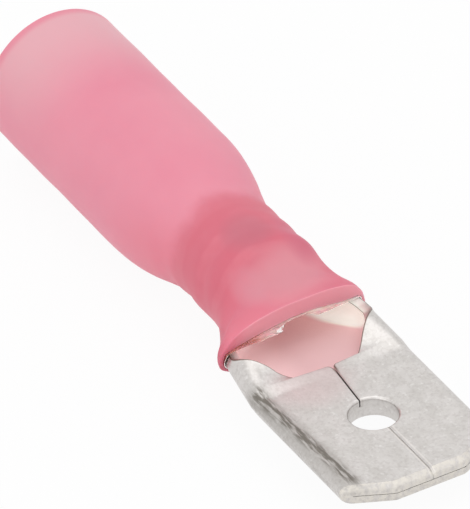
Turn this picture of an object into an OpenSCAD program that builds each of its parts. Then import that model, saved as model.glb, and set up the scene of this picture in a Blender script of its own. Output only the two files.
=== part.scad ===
// Insulated male spade terminal: a folded sheet metal tab with a rolled wire barrel,
// inside a heat-shrink sleeve that is lined with hot-melt adhesive.
// The wire's axis is the X axis. The wire enters at X = 0 and the tab points along +X.

/* [Sheet metal] */
// Thickness of the tinned brass sheet
sheet_t = 0.38; // [0.32:0.01:0.44]
// Gap left between the two layers of the folded tab
layer_gap = 0.04; // [0.03:0.01:0.08]

/* [Tab] */
// Width of the tab across its two folded edges
tab_w = 6.35; // [6:0.05:7.2]
// Length of the flaps, from their square ends to the tip
flap_l = 7.16; // [6.4:0.04:9]
// Distance from the middle of the tab to where the flap corners start to slant
flap_corner = 1.19; // [0.9:0.01:1.5]
// Angle between the slanted flap corners and the tab's length
flap_slant = 45; // [40:1:52]
// Gap between the two flaps along the middle seam
seam_gap = 0.06; // [0.04:0.01:0.12]
// Width of the rolled edge on each side of the seam
seam_edge = 0.05; // [0.03:0.01:0.08]
// Radius of the flap corners where the seam starts
seam_corner_r = 0.22; // [0.1:0.02:0.4]
// Diameter of the locking hole
hole_d = 1.8; // [1.5:0.05:2.1]
// Distance from the tip to the middle of the locking hole
hole_back = 3.95; // [3.4:0.05:4.6]
// Width of the rolled edge round the top of the locking hole
hole_edge = 0.1; // [0.05:0.01:0.16]
// Width of the slanted cut at each tip corner, across the tab
tip_cut_w = 1.76; // [1.2:0.02:2.2]
// Length of the slanted cut at each tip corner, along the tab
tip_cut_l = 0.85; // [0.5:0.05:1.2]
// Length of the lead-in bevel along the tab
bevel_l = 0.28; // [0.2:0.02:0.4]
// Depth of the lead-in bevel on the upper face
bevel_top = 0.2; // [0.1:0.01:0.25]
// Depth of the lead-in bevel on the lower face
bevel_bottom = 0.08; // [0.04:0.01:0.15]

/* [Wire barrel] */
// Bore that holds the bare wire
barrel_bore = 1.8; // [1.6:0.05:2.1]
// Length of the closed barrel
barrel_l = 4.3; // [4.1:0.1:6]
// Number of ring grooves pressed into the barrel
groove_n = 3; // [2:1:3]
// Distance from one ring groove to the next
groove_pitch = 1.3; // [1.1:0.05:1.3]
// Width of each ring groove
groove_w = 0.5; // [0.3:0.05:0.6]
// Depth of each ring groove
groove_depth = 0.07; // [0.04:0.01:0.1]
// Depth of the serrations inside the bore
serration_depth = 0.05; // [0.03:0.01:0.07]
// Width of the brazed seam along the top of the barrel
braze_w = 0.24; // [0.15:0.01:0.4]
// Depth of the brazed seam below the barrel's surface
braze_depth = 0.04; // [0.02:0.01:0.07]
// Size of the lead-in at the barrel's wire end
lead_in = 0.14; // [0.08:0.01:0.18]

/* [Funnel between barrel and tab] */
// Length of the funnel, from the barrel to the square ends of the flaps
funnel_l = 4.22; // [4.1:0.04:5.4]
// Drop of the tab's underside below the barrel's underside
tab_drop = 0.34; // [0.1:0.02:0.4]

/* [Sleeve] */
// Bore of the wire end, which takes the wire with its insulation
entry_bore = 4.5; // [4.2:0.1:5.4]
// Length of the straight, wide body
body_l = 8.2; // [6:0.1:12]
// Length of the shoulder between the wide body and the neck
shoulder_l = 4.2; // [3.4:0.1:5]
// Distance that the barrel reaches back into the shoulder
barrel_in_shoulder = 1.5; // [0.6:0.1:1.8]
// Wall of the jacket in the wide body
jacket_t = 0.32; // [0.24:0.01:0.45]
// Wall of the adhesive liner in the wide body
liner_t = 0.25; // [0.16:0.01:0.32]
// Wall of the jacket where it has shrunk onto the barrel
jacket_neck_t = 0.48; // [0.3:0.01:0.6]
// Wall of the adhesive liner on the barrel
liner_neck_t = 0.37; // [0.25:0.01:0.45]
// Growth of the neck's radius from the shoulder to the flared mouth
neck_growth = 0.09; // [0.04:0.01:0.15]
// Depth that the neck sinks into the barrel's ring grooves
neck_sink = 0.03; // [0:0.01:0.06]
// Length of the flared mouth in front of the barrel
mouth_l = 1.9; // [1.6:0.05:2]
// Wall of the jacket above the mouth
jacket_mouth_t = 0.52; // [0.4:0.01:0.6]
// Wall of the jacket below the mouth
jacket_under_t = 0.18; // [0.16:0.01:0.4]
// Wall of the adhesive liner at the mouth
liner_mouth_t = 0.1; // [0.08:0.01:0.16]
// Clearance between the liner and the funnel
liner_clear = 0.03; // [0.03:0.01:0.08]
// Distance that the liner stands out of the jacket's mouth
liner_out = 0.25; // [0.1:0.05:0.4]
// Height of the arch over the open top of the funnel
crown = 0.3; // [0.1:0.02:0.4]
// Rounding of the sleeve's two rims
rim_r = 0.08; // [0.04:0.01:0.1]

/* [Hidden] */
$fn = 72;
rad = 180 / PI;
over = 1;                                   // how far a cutter runs past what it cuts
join_l = 0.1;                               // how far a lofted wall runs into the wall it joins
join_in = 0.02;                             // how far it stays below that wall's surfaces there

// Sizes of the folded tab and the rolled barrel
tab_t = 2 * sheet_t + layer_gap;
tab_bend = (sheet_t + layer_gap) / 2;       // radius of the fold, to the middle of the sheet
tab_flat = tab_w / 2 - tab_t / 2;           // half width of the tab between its folds
barrel_r = barrel_bore / 2 + sheet_t;
barrel_mid = barrel_bore / 2 + sheet_t / 2; // radius to the middle of the sheet
tab_z = -barrel_r - tab_drop + tab_t / 2;   // middle of the tab's thickness

// Places along the wire's axis
neck_x = body_l + shoulder_l;
barrel_x = neck_x - barrel_in_shoulder;
funnel_x = barrel_x + barrel_l;
flap_x = funnel_x + funnel_l;
tip_x = flap_x + flap_l;
mouth_x = funnel_x + mouth_l;

// Shape of the sheet in the funnel
flare_share = 0.72;                         // part of the widening that the flare makes
flare_end = 0.52;                           // place along the funnel where the flare ends
flare_lag = 1.2;                            // how late the flare sets in
floor_end = 0.4;                            // place along the funnel where the floor lies level
bend_lag = 0.8;                             // how late the bends tighten
open_angle = 75;                            // how far the walls open between barrel and tab
open_end = 0.42;                            // place along the funnel where the walls stand open
close_start = 0.58;                         // where they start to fold over
close_end = 0.78;                           // where they lie flat
edge_l = 0.06;                              // least straight stretch at the sheet's free edges
edge_ease = 0.4;                            // rounding between the slanted and straight edges
blank_half = PI * barrel_mid - seam_gap / 2;
blank_end = tab_flat + PI * tab_bend + tab_flat - flap_corner;

// Shape of the sleeve
shoulder_lean = 1.35;                       // how far the shoulder bulges towards the neck
wave_w = groove_w * 0.7;                    // width of the hollow over a ring groove

// Fineness of the lofted surfaces
flat_n = 3;
arc_n = 10;
edge_n = 2;
cap_n = 4;
roof_n = 4;
funnel_n = 28;
mouth_n = 12;
profile_n = 28;
rim_n = 4;

function mix(a, b, t) = a + (b - a) * t;
function clamp(t) = max(0, min(1, t));
function smooth(t) = let (u = clamp(t)) u * u * (3 - 2 * u);

// The sheet's cross-section at t, which runs from 0 at the barrel to 1 at the flaps:
// a flat floor, a bend on each side and a straight free edge.
function outer_half(t) =
    let (flared = smooth(pow(clamp(t / flare_end), flare_lag)))
    mix(barrel_r, tab_w / 2, flare_share * flared + (1 - flare_share) * t);
function bend_r(t) = mix(barrel_mid, tab_bend, pow(t, bend_lag));
function floor_half(t) = max(0.01, outer_half(t) - sheet_t / 2 - bend_r(t));
function floor_z(t) = mix(-barrel_mid, tab_z - tab_bend, smooth(t / floor_end));
function blank(t) =
    let (slanted = blank_end - (1 - t) * funnel_l * tan(flap_slant), gap = slanted - blank_half)
    (slanted + blank_half + sqrt(gap * gap + edge_ease * edge_ease * t)) / 2;
function wall_angle(t) =
    180 - open_angle * smooth(t / open_end)
    * (1 - smooth((t - close_start) / (close_end - close_start)));
function bend_angle(t) =
    min(wall_angle(t), (blank(t) - floor_half(t) - edge_l) / bend_r(t) * rad);
function free_edge(t) = blank(t) - floor_half(t) - bend_r(t) * bend_angle(t) / rad;

// Half of the cross-section, from the middle of the floor to the free edge,
// at a distance off from the middle of the sheet, outwards.
function sheet_half(t, off) =
    let (f = floor_half(t), c = bend_r(t), z = floor_z(t), a = bend_angle(t), e = free_edge(t))
    [
        for (i = [0:flat_n - 1]) [f * i / flat_n, z - off],
        for (i = [0:arc_n])
            let (p = a * i / arc_n)
            [f + (c + off) * sin(p), z + c - (c + off) * cos(p)],
        for (i = [1:edge_n])
            let (s = e * i / edge_n)
            [f + (c + off) * sin(a) + s * cos(a), z + c - (c + off) * cos(a) + s * sin(a)]
    ];

// A closed ring of a half outline and its mirror image, without the points they share.
function mirrored(half) = [for (i = [len(half) - 1:-1:1]) [-half[i][0], half[i][1]]];
function sheet_ring(t, inset) =
    let (off = sheet_t / 2 - inset, outer = sheet_half(t, off), inner = sheet_half(t, -off))
    concat(
        mirrored(outer), outer,
        [for (i = [len(inner) - 1:-1:0]) inner[i]],
        [for (i = [1:len(inner) - 1]) [-inner[i][0], inner[i][1]]]
    );

// The outline that a tight sleeve takes round the funnel. Its distance from the metal goes
// from low under the floor to high over the open top.
function apart(low, high, p) = mix(low, high, pow((1 - cos(p)) / 2, 4));
function sleeve_half(t, low, high) =
    let (
        f = floor_half(t), c = bend_r(t), z = floor_z(t), a = bend_angle(t), e = free_edge(t),
        r = c + sheet_t / 2,
        corner = [f + r * sin(a) + e * cos(a), z + c - r * cos(a) + e * sin(a)],
        lean = atan(2 * crown * smooth(4 * t) / (corner[0] + high)),
        last = max(a, 180 - lean),
        d = apart(low, high, last),
        eave = [corner[0] + d * sin(last), corner[1] - d * cos(last)],
        rise = tan(180 - last) * eave[0] / 2
    )
    [
        for (i = [0:flat_n - 1]) [f * i / flat_n, z - sheet_t / 2 - low],
        for (i = [0:arc_n])
            let (p = a * i / arc_n, d = r + apart(low, high, p))
            [f + d * sin(p), z + c - d * cos(p)],
        for (i = [0:cap_n])
            let (p = mix(a, last, i / cap_n), d = apart(low, high, p))
            [corner[0] + d * sin(p), corner[1] - d * cos(p)],
        for (i = [1:roof_n])
            let (s = i / roof_n)
            [eave[0] * (1 - s), eave[1] + rise * s * (2 - s)]
    ];
function whole(half) =
    concat(half, [for (i = [len(half) - 2:-1:1]) [-half[i][0], half[i][1]]]);
function sleeve_ring(t, low, high) = whole(sleeve_half(t, low, high));

// Joins rings of points into a bent sheet. Each ring is [x, [[y, z], ...]], and runs along
// the sheet's outer face and back along its inner face.
module sheet_loft(rings) {
    n = len(rings[0][1]);
    m = len(rings);
    last = (m - 1) * n;
    points = [for (r = rings) for (p = r[1]) [r[0], p[0], p[1]]];
    sides = [
        for (i = [0:m - 2]) for (j = [0:n - 1])
            let (a = i * n + j, b = i * n + (j + 1) % n)
            each [[a, a + n, b], [b, a + n, b + n]]
    ];
    ends = [
        for (j = [0:n / 2 - 2])
            let (k = n - 1 - j)
            each [
                [j, j + 1, k], [j + 1, k - 1, k],
                [last + j, last + k, last + j + 1], [last + j + 1, last + k, last + k - 1]
            ]
    ];
    polyhedron(points, concat(sides, ends), convexity = 8);
}

// Joins outer and inner rings into an open tube.
module tube_loft(outer, inner) {
    n = len(outer[0][1]);
    m = len(outer);
    points = concat(
        [for (r = outer) for (p = r[1]) [r[0], p[0], p[1]]],
        [for (r = inner) for (p = r[1]) [r[0], p[0], p[1]]]
    );
    skin = m * n;
    sides = [
        for (i = [0:m - 2]) for (j = [0:n - 1])
            let (a = i * n + j, b = i * n + (j + 1) % n)
            each [
                [a, a + n, b], [b, a + n, b + n],
                [skin + a, skin + b, skin + a + n], [skin + b, skin + b + n, skin + a + n]
            ]
    ];
    ends = [
        for (j = [0:n - 1])
            let (k = (j + 1) % n, last = (m - 1) * n)
            each [
                [j, k, skin + j], [k, skin + k, skin + j],
                [last + j, skin + last + j, last + k], [last + k, skin + last + j, skin + last + k]
            ]
    ];
    polyhedron(points, concat(sides, ends), convexity = 8);
}

// Turns a profile of [radius, x] points round the wire's axis.
module turned(profile) {
    rotate([0, 90, 0])
        rotate_extrude()
            polygon(profile);
}

// Extrudes an outline drawn in X and Y, between two heights.
module slab(low, high) {
    translate([0, 0, low])
        linear_extrude(high - low)
            children();
}

function groove_x(i) = barrel_x + barrel_l / 2 + (i - (groove_n - 1) / 2) * groove_pitch;

// The rolled barrel, with its pressed grooves, serrations, lead-in and brazed seam
module barrel() {
    bore_r = barrel_bore / 2;
    outside = [
        for (i = [0:groove_n - 1])
            each [
                [barrel_r, groove_x(i) - groove_w / 2],
                [barrel_r - groove_depth, groove_x(i) - groove_w / 6],
                [barrel_r - groove_depth, groove_x(i) + groove_w / 6],
                [barrel_r, groove_x(i) + groove_w / 2]
            ]
    ];
    inside = [
        for (i = [groove_n - 2:-1:0])
            let (x = groove_x(i) + groove_pitch / 2)
            each [
                [bore_r, x + groove_w / 4],
                [bore_r + serration_depth, x],
                [bore_r, x - groove_w / 4]
            ]
    ];
    difference() {
        turned(concat(
            [[bore_r + lead_in, barrel_x], [barrel_r, barrel_x]],
            outside,
            [[barrel_r, funnel_x], [bore_r, funnel_x]],
            inside,
            [[bore_r, barrel_x + lead_in]]
        ));
        translate([barrel_x - over, -braze_w / 2, barrel_r - braze_depth])
            cube([barrel_l + over, braze_w, over]);
    }
}

// The sheet between the barrel and the flaps
module funnel() {
    sheet_loft(concat(
        [for (x = [funnel_x - join_l, funnel_x]) [x, sheet_ring(0, join_in)]],
        [
            for (i = [1:funnel_n - 1])
                let (t = i / funnel_n)
                [mix(funnel_x, flap_x, t), sheet_ring(t, 0)]
        ],
        [for (x = [flap_x, flap_x + join_l]) [x, sheet_ring(1, join_in)]]
    ));
}

// A rod along the tab
module rod(y, r) {
    translate([flap_x, y, tab_z])
        rotate([0, 90, 0])
            cylinder(r = r, h = flap_l);
}

// The flat tab, folded from both sides over the base so that its edges meet on top
module folded_tab() {
    difference() {
        union() {
            translate([flap_x, -tab_flat, tab_z - tab_t / 2])
                cube([flap_l, 2 * tab_flat, tab_t]);
            for (side = [-1, 1])
                rod(side * tab_flat, tab_t / 2);
        }
        layer_slot();
        seam();
        hole();
        tip_shape();
    }
}

// The gap between the two layers
module layer_slot() {
    translate([flap_x - over, -tab_flat, tab_z - layer_gap / 2])
        cube([flap_l + 2 * over, 2 * tab_flat, layer_gap]);
    for (side = [-1, 1])
        translate([flap_x - over, side * tab_flat, tab_z])
            rotate([0, 90, 0])
                cylinder(r = layer_gap / 2, h = flap_l + 2 * over);
}

// The seam between the flaps, its rolled edges and the rounded corners where it starts
module seam() {
    top = tab_z + tab_t / 2;
    translate([flap_x - over, -seam_gap / 2, tab_z])
        cube([flap_l + 2 * over, seam_gap, tab_t]);
    translate([flap_x - over, 0, top])
        rotate([90, 0, 90])
            linear_extrude(flap_l + 2 * over)
                polygon([
                    [-seam_gap / 2, -seam_edge], [seam_gap / 2, -seam_edge],
                    [seam_gap / 2 + 2 * seam_edge, seam_edge],
                    [-seam_gap / 2 - 2 * seam_edge, seam_edge]
                ]);
    slab(tab_z, top + over)
        for (side = [-1, 1])
            difference() {
                translate([flap_x - over, side > 0 ? 0 : -seam_gap / 2 - seam_corner_r])
                    square([over + seam_corner_r, seam_gap / 2 + seam_corner_r]);
                translate([flap_x + seam_corner_r, side * (seam_gap / 2 + seam_corner_r)])
                    circle(seam_corner_r);
            }
}

// The round locking hole through both layers
module hole() {
    translate([tip_x - hole_back, 0, tab_z]) {
        translate([0, 0, -over])
            cylinder(d = hole_d, h = 2 * over);
        translate([0, 0, tab_t / 2 - hole_edge])
            cylinder(r1 = hole_d / 2, r2 = hole_d / 2 + 2 * hole_edge, h = 2 * hole_edge);
    }
}

// The slanted corners and the lead-in bevels of the tip
module tip_shape() {
    for (side = [-1, 1])
        slab(tab_z - over, tab_z + over)
            polygon([
                [tip_x - tip_cut_l, side * tab_w / 2],
                [tip_x, side * (tab_w / 2 - tip_cut_w)],
                [tip_x + over, side * (tab_w / 2 - tip_cut_w)],
                [tip_x + over, side * (tab_w / 2 + over)],
                [tip_x - tip_cut_l, side * (tab_w / 2 + over)]
            ]);
    bevel(bevel_top, 1);
    bevel(bevel_bottom, -1);
}

// One lead-in bevel, on the face that side points to
module bevel(depth, side) {
    face = side * tab_t / 2;
    translate([0, tab_w / 2 + over, tab_z])
        rotate([90, 0, 0])
            linear_extrude(tab_w + 2 * over)
                polygon([
                    [tip_x - bevel_l, face],
                    [tip_x, face - side * depth],
                    [tip_x + over, face - side * depth],
                    [tip_x + over, face + side * over],
                    [tip_x - bevel_l, face + side * over]
                ]);
}

// Tab, funnel and barrel are one piece of tinned brass sheet
module terminal() {
    color("silver") {
        barrel();
        funnel();
        folded_tab();
    }
}

// Radii of the sleeve's three surfaces behind the funnel
function shrink(x) = smooth(pow(clamp((x - body_l) / shoulder_l), shoulder_lean));
function wave(x) =
    let (s = [for (i = [0:groove_n - 1]) exp(-pow((x - groove_x(i)) / wave_w, 2))])
    neck_sink * max(s);
function growth(x) = neck_growth * clamp((x - neck_x) / (funnel_x - neck_x));
function liner_in(x) = mix(entry_bore / 2, barrel_r, shrink(x));
function liner_out_r(x) =
    mix(entry_bore / 2 + liner_t, barrel_r + liner_neck_t, shrink(x)) + growth(x) / 2;
function jacket_out_r(x) =
    mix(entry_bore / 2 + liner_t + jacket_t, barrel_r + liner_neck_t + jacket_neck_t, shrink(x))
    + growth(x) - wave(x);

profile_x = [for (i = [0:profile_n]) mix(body_l, funnel_x, i / profile_n)];

// Distances of the sleeve's surfaces from the funnel, from m = 0 at the barrel to 1 at the mouth
function liner_mouth_d(m) =
    mix(liner_out_r(funnel_x) - barrel_r, liner_clear + liner_mouth_t, smooth(m));
function mouth_t(m) = max(0, m) * mouth_l / funnel_l;
function mouth_join(m) = m > 0 ? 0 : join_in;

// Stations along the mouth, with closer ones for the rounded rim
mouth_m = concat(
    [-join_l / mouth_l],
    [for (i = [0:mouth_n - 1]) (1 - rim_r / mouth_l) * i / mouth_n],
    [for (i = [0:rim_n]) 1 - rim_r / mouth_l * cos(90 * i / rim_n)]
);
function rim_cut(m) =
    let (s = clamp(1 - (1 - m) * mouth_l / rim_r))
    rim_r * (1 - sqrt(1 - s * s));

// The jacket's wall at the mouth is thin below and thick above
function jacket_ring(m) =
    let (
        neck = jacket_out_r(funnel_x) - liner_out_r(funnel_x),
        d = liner_mouth_d(m) - mouth_join(m) - rim_cut(m)
    )
    sleeve_ring(
        mouth_t(m),
        d + mix(neck, jacket_under_t, smooth(m)),
        d + mix(neck, jacket_mouth_t, smooth(m))
    );

// The heat-shrink jacket
module jacket() {
    color("lightpink") {
        turned(concat(
            [[liner_out_r(0), 0], [jacket_out_r(0) - rim_r, 0]],
            [for (i = [1:rim_n]) let (a = 90 * i / rim_n)
                [jacket_out_r(0) - rim_r * (1 - sin(a)), rim_r * (1 - cos(a))]],
            [for (x = profile_x) [jacket_out_r(x), x]],
            [for (i = [profile_n:-1:0]) [liner_out_r(profile_x[i]), profile_x[i]]]
        ));
        tube_loft(
            [for (m = mouth_m) [funnel_x + m * mouth_l, jacket_ring(m)]],
            [for (m = mouth_m)
                let (d = liner_mouth_d(m) + mouth_join(m))
                [funnel_x + m * mouth_l, sleeve_ring(mouth_t(m), d, d)]]
        );
    }
}

// The liner grips the barrel and comes clear of the metal at the mouth
function liner_gap(m) = liner_clear * smooth(2 * m);
function lip_cut(m) =
    let (s = clamp((m - 1) * mouth_l / liner_out))
    liner_mouth_t * (1 - sqrt(1 - 0.9 * s * s));

// The hot-melt liner, which stands out a little at the mouth
module adhesive_liner() {
    end_m = 1 + liner_out / mouth_l;
    outside_m = concat(mouth_m, [for (i = [1:rim_n]) mix(1, end_m, i / rim_n)]);
    color("wheat") {
        turned(concat(
            [[liner_in(0), 0], [liner_out_r(0), 0]],
            [for (x = profile_x) [liner_out_r(x), x]],
            [for (i = [profile_n:-1:0]) [liner_in(profile_x[i]), profile_x[i]]]
        ));
        tube_loft(
            [for (m = outside_m)
                let (d = liner_mouth_d(m) - mouth_join(m) - lip_cut(m))
                [funnel_x + m * mouth_l, sleeve_ring(mouth_t(m), d, d)]],
            [for (m = outside_m)
                let (d = liner_gap(m) + mouth_join(m))
                [funnel_x + m * mouth_l, sleeve_ring(mouth_t(m), d, d)]]
        );
    }
}

terminal();
adhesive_liner();
jacket();
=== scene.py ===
# %% [markdown]
# # A heat-shrink spade terminal
# The real part is a small wire connector, 26 mm long. A strip of tinned brass is folded into a
# flat tab at one end and rolled into a wire barrel at the other. A pink heat-shrink sleeve with a
# clear hot-melt lining grips the barrel. This lesson builds each of the three pieces as a mesh
# from formulas and then gives each one a finish made of shader nodes.
#
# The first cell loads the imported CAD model. Everything after it is measured in its frame: X runs
# along the wire from the sleeve's open end to the tab's tip, Y goes across, and Z goes up. In
# these notes left is the side of negative Y, as the camera sees it.

# %% Load the CAD frame
import math
import bpy
import numpy as np
from mathutils import Matrix, Vector


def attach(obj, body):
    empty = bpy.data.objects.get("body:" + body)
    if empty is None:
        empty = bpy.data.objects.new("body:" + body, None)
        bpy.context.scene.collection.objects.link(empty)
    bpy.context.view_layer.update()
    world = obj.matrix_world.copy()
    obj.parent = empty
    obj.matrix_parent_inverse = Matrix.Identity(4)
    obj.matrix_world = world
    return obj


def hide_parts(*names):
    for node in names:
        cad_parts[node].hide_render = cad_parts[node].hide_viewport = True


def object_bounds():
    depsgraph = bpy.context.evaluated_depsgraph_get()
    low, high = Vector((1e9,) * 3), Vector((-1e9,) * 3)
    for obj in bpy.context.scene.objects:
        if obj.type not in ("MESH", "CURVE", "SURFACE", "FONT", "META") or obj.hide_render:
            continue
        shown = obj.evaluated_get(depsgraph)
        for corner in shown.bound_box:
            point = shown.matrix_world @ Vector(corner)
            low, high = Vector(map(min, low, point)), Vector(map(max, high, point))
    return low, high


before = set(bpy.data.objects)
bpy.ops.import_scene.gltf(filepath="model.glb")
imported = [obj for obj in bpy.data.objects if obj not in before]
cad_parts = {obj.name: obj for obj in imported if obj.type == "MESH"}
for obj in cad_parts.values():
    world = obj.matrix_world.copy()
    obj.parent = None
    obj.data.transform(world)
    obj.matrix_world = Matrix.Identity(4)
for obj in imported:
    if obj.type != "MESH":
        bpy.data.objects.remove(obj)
cad_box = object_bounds()
MM = 0.001
print("CAD nodes:", sorted(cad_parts))
print("CAD box:", cad_box)

# %% [markdown]
# ## The sizes
# The pieces that replace the CAD's solids have to lie where those solids are, so they share one
# list of sizes, in millimetres. A reader who changes a size here should change the CAD as well.
# Keeping them together in plain names is better than typing numbers into each mesh.

# %% Sizes in millimetres
sheet_t = 0.38
layer_gap = 0.04
tab_w = 6.35
tab_t = 2 * sheet_t + layer_gap
tab_bend = (sheet_t + layer_gap) / 2
tab_flat = tab_w / 2 - tab_t / 2
barrel_bore_r = 0.90
barrel_r = barrel_bore_r + sheet_t
barrel_mid = barrel_bore_r + sheet_t / 2
tab_z = -barrel_r - 0.34 + tab_t / 2
barrel_x = 10.9
funnel_x = 15.2
flap_x = 19.42
tip_x = 26.58
mouth_x = 17.1
hole_x = tip_x - 3.95
hole_r = 0.9
tip_cut_w = 1.76
tip_cut_l = 0.85
blank_half = math.pi * barrel_mid - 0.03
grooves = (11.75, 13.05, 14.35)
serrations = (12.4, 13.7)
print("tab", tab_w, "by", round(tab_t, 2), "mm, middle at z", round(tab_z, 3))


def mix(a, b, t):
    return a + (b - a) * t


def clamp(t):
    return np.clip(t, 0.0, 1.0)


def smooth(t):
    u = clamp(t)
    return u * u * (3 - 2 * u)


# %% [markdown]
# ## A helper that makes meshes from rings
# Both the sheet and the sleeve are long pieces whose cross-section changes along X. In Blender
# such a piece can be made by lofting: a ring of points is placed at each station along X and
# neighbouring rings are joined by four-sided faces. The numbers stay in millimetres until the
# mesh is made, where they become Blender's metres.

# %% Mesh from rings of points
def shade_smooth(mesh, sharp_angle):
    """Smooth shading that keeps edges sharper than an angle in degrees."""
    for polygon in mesh.polygons:
        polygon.use_smooth = True
    mesh.set_sharp_from_angle(angle=math.radians(sharp_angle))


def mesh_piece(name, points, faces, sharp_angle=40):
    """A smooth-shaded object from points in millimetres."""
    mesh = bpy.data.meshes.new(name)
    mesh.from_pydata([tuple(float(c) * MM for c in p) for p in points], [], faces)
    mesh.validate()
    mesh.update()
    shade_smooth(mesh, sharp_angle)
    piece = bpy.data.objects.new(name, mesh)
    bpy.context.scene.collection.objects.link(piece)
    return piece


def ring_faces(rings, count, flip=False):
    """Faces between neighbouring closed rings that each have the same number of points."""
    faces = []
    for i in range(rings - 1):
        for j in range(count):
            a = i * count + j
            b = i * count + (j + 1) % count
            face = (a, b, b + count, a + count)
            faces.append(tuple(reversed(face)) if flip else face)
    return faces


print("ring helper ready")

# %% [markdown]
# ## The folded and rolled sheet
# The terminal is a single sheet 0.38 mm thick. Its cross-section is always the same idea: a flat
# floor, a bend on each side and a straight flap. At the barrel the floor vanishes and the bends
# close into a tube. At the tab the bends become tight hems and the flaps lie on the floor. So one
# function gives the floor's half width, the bend's radius, the floor's height and the length of
# sheet on each side, for any place along X.

# %% The sheet's cross-section along X
flap_corner = 1.19
seam_past_hole = 0.09
flare_share = 0.72
open_angle = 75
# Shares of the funnel's length at which each change of the section ends or starts
flare_end = 0.52
sink_end = 0.40
open_end = 0.42
close_start = 0.58
close_l = 0.20


def soft_max(a, b, softness):
    """The larger of two values, with a rounded corner where they cross."""
    return (a + b + np.sqrt((a - b) ** 2 + softness)) / 2


def seam_y(x):
    """Where the seam lies across the tab. It runs a little askew above the hole."""
    if x < hole_x:
        return 0.19 - 0.098 * (x - 19.54)
    return seam_past_hole


def flap_edge(x, side):
    """Distance of a flap's free edge from the middle of the tab, with a rounded corner."""
    start = x - flap_x
    corner = 0.24 if side < 0 else 0.13
    half_gap = 0.025 if x < hole_x else 0.004
    if start < corner:
        half_gap += corner - math.sqrt(max(0.0, corner ** 2 - (corner - start) ** 2))
    return side * seam_y(x) + half_gap


def section(x, side=1):
    """Half floor, bend radius, floor height, bend angle and half length of the sheet at x."""
    t = float(clamp((x - funnel_x) / (flap_x - funnel_x)))
    late = float(clamp((x - funnel_x) / (flap_x + 0.5 - funnel_x)))
    flared = float(smooth(min(1.0, t / flare_end) ** 1.2))
    half = mix(barrel_r, tab_w / 2, flare_share * flared + (1 - flare_share) * t)
    bend = mix(barrel_mid, tab_bend, late ** 0.8)
    floor = max(0.01, half - sheet_t / 2 - bend)
    height = mix(-barrel_mid, tab_z - tab_bend, float(smooth(t / sink_end)))
    if x >= flap_x:
        length = floor + math.pi * bend + floor - flap_edge(x, side)
    else:
        # The cut slants back from the flap's corner until it meets the barrel's narrow strip
        slanted = tab_flat + math.pi * tab_bend + tab_flat - flap_corner - (flap_x - x)
        length = float(soft_max(slanted, blank_half, 0.16 * t))
    # The sides open to a trough in the funnel and close again over the tab
    open_up = float(smooth(t / open_end)) * (1 - float(smooth((t - close_start) / close_l)))
    angle = math.pi - math.radians(open_angle) * open_up
    # While the bend is still wide, a flap leans down to lie on the floor
    flap = max(0.4, length - floor - math.pi * bend)
    lean = math.asin(min(0.4, 2 * (bend - tab_bend) / flap))
    angle += lean * float(smooth((x - flap_x + 1.1) / 1.0))
    return floor, bend, height, min(angle, (length - floor - 0.06) / bend), length


for x in (12, 17.1, 18.3, 19.3, 22):
    print(x, [round(v, 3) for v in section(x)])

# %% [markdown]
# The outline of one station runs along the outer face of the sheet and back along its inner face.
# The points are shared out between floor, bend and flap, so every station has as many points as
# its neighbours. The two cut edges get a small chamfer, because stamped sheet never has a razor
# edge and the chamfer catches the light. Beside each chamfer lies one more row of points, which
# lets a mark on the edge fade out over a few hundredths of a millimetre.

# %% One station of the sheet
FLOOR_N = 14
BEND_N = 30
FLAP_N = 16
edge_fade = 0.055
inner_cut = 0.03
inner_fade = 0.04


def edge_cut(x):
    """Width and depth of the chamfer at the free edges. It is wide beyond the hole."""
    wide = float(smooth((x - hole_x) / 0.3))
    return mix(0.035, 0.085, wide), mix(0.035, 0.06, wide)


def half_line(x, side, off, trim=0.0):
    """Points from the floor's middle to the free edge, at a distance off from mid-sheet."""
    floor, bend, height, angle, length = section(x, side)
    flap = length - floor - bend * angle - trim
    line = []
    for i in range(FLOOR_N):
        line.append((floor * i / FLOOR_N, height - off))
    for i in range(BEND_N + 1):
        p = angle * i / BEND_N
        line.append((floor + (bend + off) * math.sin(p), height + bend - (bend + off) * math.cos(p)))
    y0, z0 = line[-1]
    for i in range(1, FLAP_N + 1):
        s = flap * i / FLAP_N
        line.append((y0 + s * math.cos(angle), z0 + s * math.sin(angle)))
    return line


def faces_of_side(x, side):
    """The outer and inner lines of one side, each ending on the chamfered free edge."""
    width, depth = edge_cut(x)
    half_t = sheet_t / 2
    outer = half_line(x, side, half_t, width + edge_fade)
    outer += [half_line(x, side, half_t, width)[-1], half_line(x, side, half_t - depth)[-1]]
    inner = half_line(x, side, -half_t, inner_cut + inner_fade)
    inner += [half_line(x, side, -half_t, inner_cut)[-1], half_line(x, side, inner_cut - half_t)[-1]]
    return outer, inner


def around(outer, inner, left_outer, left_inner):
    """Two sides joined to one closed walk: left edge, outer face, right edge, inner face."""
    return left_outer[:0:-1] + outer + inner[::-1] + left_inner[1:]


def sheet_ring(x):
    """The closed outline of the sheet at x."""
    left_outer, left_inner = [[(-y, z) for y, z in line] for line in faces_of_side(x, -1)]
    return around(*faces_of_side(x, 1), left_outer, left_inner)


def sheet_marks():
    """For each point of a station, how near it is to a cut edge and whether it is inside."""
    n = len(faces_of_side(20, 1)[0])
    edge = [0.0] * (n - 2) + [1.0, 0.25]
    return around(edge, edge, edge, edge), around([0.0] * n, [1.0] * n, [0.0] * n, [1.0] * n)


print("points in a station:", len(sheet_ring(20)))

# %% [markdown]
# ## The tip of the tab
# A blade needs a lead-in so that it slides into its socket. The press cuts the two corners off
# and coins a bevel along the three front edges. Both are made by moving points: the last stations
# are pulled back at the sides, so that they follow the cut corners, and near the edge each layer
# is pressed thinner. Because the stations follow the edge, the bevel stays clean along it.

# %% Shaping the tip
bevel_l = 0.24


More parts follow.
